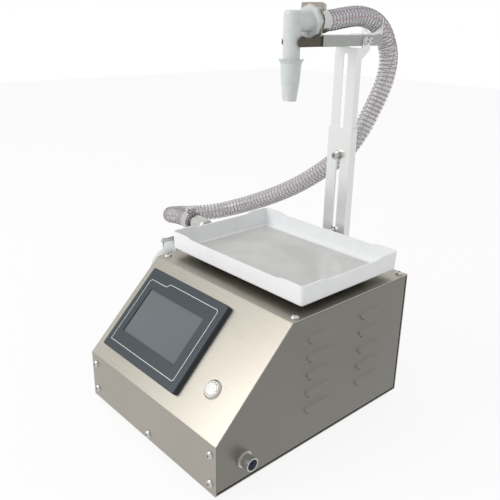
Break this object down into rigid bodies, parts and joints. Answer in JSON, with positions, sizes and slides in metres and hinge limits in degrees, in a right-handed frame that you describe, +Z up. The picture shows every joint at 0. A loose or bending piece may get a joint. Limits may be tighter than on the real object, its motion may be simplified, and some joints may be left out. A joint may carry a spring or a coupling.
{
  "type": "honey filling machine",
  "caption": "Table-top honey filling machine: sloped steel casing with touchscreen, weighing tray, gear pump, hose and a sliding mast with nozzle.",
  "frame": {"origin": "on the floor, under the middle of the footprint of everything but the delivery hose", "axes": "+X to the machine's right, +Y to the back where the mast stands, +Z up"},
  "size_m": [0.401, 0.4159, 0.4906],
  "materials": {
    "brushed_stainless": "brushed, semi-gloss",
    "white_enamel": "white powder coat, semi-gloss",
    "painted_steel": "pale grey powder coat, semi-gloss",
    "bare_steel": "satin",
    "rubber": "matt black",
    "plated_steel": "bright plated",
    "black_plastic": "fine moulded grain",
    "screen_glass": "unlit display under glass",
    "white_plastic": "gloss",
    "dark_insert": "dark blue, matt",
    "milky_plastic": "translucent milky",
    "clear_hose": "clear, with a steel wire helix",
    "aluminium": "machined",
    "pump_steel": "machined stainless",
    "gear_steel": "ground",
    "bronze": "sintered",
    "motor_paint": "black paint",
    "circuit_board": "green lacquer"
  },
  "bodies": {
    "base": {"base_plate": "brushed_stainless", "board_standoffs": "black_plastic", "button_housing": "plated_steel", "button_nut": "plated_steel", "connector_insert": "dark_insert", "connector_nut": "plated_steel", "connector_shell": "plated_steel", "control_board": "circuit_board", "cover_screws": "plated_steel", "delivery_hose_lower": "clear_hose", "front_cover": "brushed_stainless", "gearbox": "motor_paint", "left_side_panel": "brushed_stainless", "load_cell": "aluminium", "load_cell_riser": "brushed_stainless", "mains_inlet": "black_plastic", "mast_bolts": "plated_steel", "mast_lower": "painted_steel", "mast_nuts": "plated_steel", "mast_washers": "plated_steel", "motor_standoffs": "plated_steel", "outlet_clamp": "plated_steel", "outlet_elbow": "milky_plastic", "power_supply": "aluminium", "pump_body": "pump_steel", "pump_bushes": "bronze", "pump_cover": "pump_steel", "pump_motor": "motor_paint", "pump_screws": "plated_steel", "rear_panel": "brushed_stainless", "right_side_panel": "brushed_stainless", "rubber_feet": "rubber", "small_screws": "plated_steel", "suction_elbow": "milky_plastic", "switch_housing": "black_plastic", "touchscreen_bezel": "black_plastic", "touchscreen_case": "black_plastic", "touchscreen_clamps": "black_plastic", "touchscreen_glass": "screen_glass", "weigh_platform": "black_plastic", "weigh_post": "aluminium"},
    "tray_pan": {"tray": "white_enamel"},
    "start_button": {"button_cap": "white_plastic"},
    "mains_switch": {"power_switch": "black_plastic"},
    "pump_drive": {"drive_gear": "gear_steel", "output_shaft": "gear_steel", "shaft_coupling": "gear_steel"},
    "pump_driven": {"driven_gear": "gear_steel"},
    "mast": {"mast_upper": "painted_steel", "arm_channel": "white_enamel", "arm_screws": "plated_steel", "hose_cradle": "painted_steel", "delivery_hose_upper": "clear_hose"},
    "nozzle_arm": {"nozzle_bar": "bare_steel", "nozzle_plate": "bare_steel", "elbow_locknut": "milky_plastic", "nozzle_elbow": "milky_plastic", "nozzle_sleeve": "milky_plastic", "nozzle_clamp": "plated_steel"}
  },
  "joints": [
    {"name": "tray_lift", "type": "slide", "parent": "base", "child": "tray_pan", "axis": [0, 0, 1], "range_m": [0, 0.05]},
    {"name": "start_button_press", "type": "slide", "parent": "base", "child": "start_button", "axis": [0, 0.7071, -0.7071], "range_m": [0, 0.002], "stiffness_N_per_m": 1500},
    {"name": "mains_switch_rock", "type": "hinge", "parent": "base", "child": "mains_switch", "pos_m": [0.052, 0.12787, 0.048], "axis": [-1, 0, 0], "range_deg": [0, 18]},
    {"name": "drive_gear_spin", "type": "hinge", "parent": "base", "child": "pump_drive", "pos_m": [-0.1269, 0.00137, 0.1255], "axis": [1, 0, 0], "continuous": true},
    {"name": "driven_gear_spin", "type": "hinge", "parent": "base", "child": "pump_driven", "pos_m": [-0.1269, 0.00137, 0.1505], "axis": [1, 0, 0], "continuous": true},
    {"name": "mast_slide", "type": "slide", "parent": "base", "child": "mast", "axis": [0, 0, 1], "range_m": [-0.08, 0.03], "deforming": ["delivery_hose_lower"]},
    {"name": "arm_slide", "type": "slide", "parent": "mast", "child": "nozzle_arm", "axis": [0, -1, 0], "range_m": [0, 0.03], "deforming": ["delivery_hose_upper"]}
  ],
  "couplings": [
    {"joint": "driven_gear_spin", "follows": "drive_gear_spin", "ratio": -1}
  ]
}
